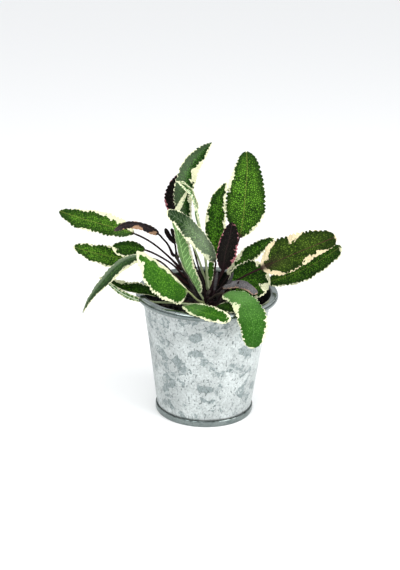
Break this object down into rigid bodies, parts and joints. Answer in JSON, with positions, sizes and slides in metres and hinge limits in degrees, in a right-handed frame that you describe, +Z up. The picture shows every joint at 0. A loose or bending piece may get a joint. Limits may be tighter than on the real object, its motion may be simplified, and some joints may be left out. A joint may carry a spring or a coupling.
{
  "type": "potted sage",
  "caption": "Variegated tricolour sage plant with separate stems and leaves, planted in soil in a tapered zinc pot with a rolled rim and a crimped foot.",
  "frame": {"origin": "centre of the pot on the table plane, at the foot of the pot", "axes": "+Z up; +Y towards the back of the plant, where its tallest leaves are; +X towards the big right-hand leaves"},
  "size_m": [0.2364, 0.1328, 0.2272],
  "materials": {
    "zinc": "galvanised, dull with grey-green spangle",
    "soil": "moist crumbly potting soil",
    "stem": "matt, faintly ridged",
    "leaf_green": "pebbled, soft sheen, cream margin",
    "leaf_grey": "felted grey-green, cream margin",
    "leaf_purple": "dark purple, pink margin"
  },
  "bodies": {
    "root": {"leaf_arched": "leaf_purple", "leaf_back_tall": "leaf_green", "leaf_bright": "leaf_green", "leaf_bud_inner": "leaf_purple", "leaf_bud_outer": "leaf_purple", "leaf_centre_grey": "leaf_grey", "leaf_curled": "leaf_grey", "leaf_dark_back": "leaf_purple", "leaf_drooping_left": "leaf_grey", "leaf_folded": "leaf_grey", "leaf_front_drooping": "leaf_green", "leaf_front_inner": "leaf_green", "leaf_front_low": "leaf_green", "leaf_left_back": "leaf_green", "leaf_left_inner": "leaf_green", "leaf_left_rim": "leaf_green", "leaf_purple": "leaf_purple", "leaf_right_back": "leaf_green", "leaf_right_big": "leaf_green", "leaf_right_inner": "leaf_green", "leaf_right_low": "leaf_green", "leaf_tallest": "leaf_green", "leaf_upper_left": "leaf_green", "leaf_upright": "leaf_green", "leaf_young_centre": "leaf_purple", "leaf_young_left": "leaf_purple", "pot_base": "zinc", "pot_wall": "zinc", "soil": "soil", "stem_back": "stem", "stem_centre": "stem", "stem_left": "stem", "stem_right": "stem"}
  },
  "joints": []
}
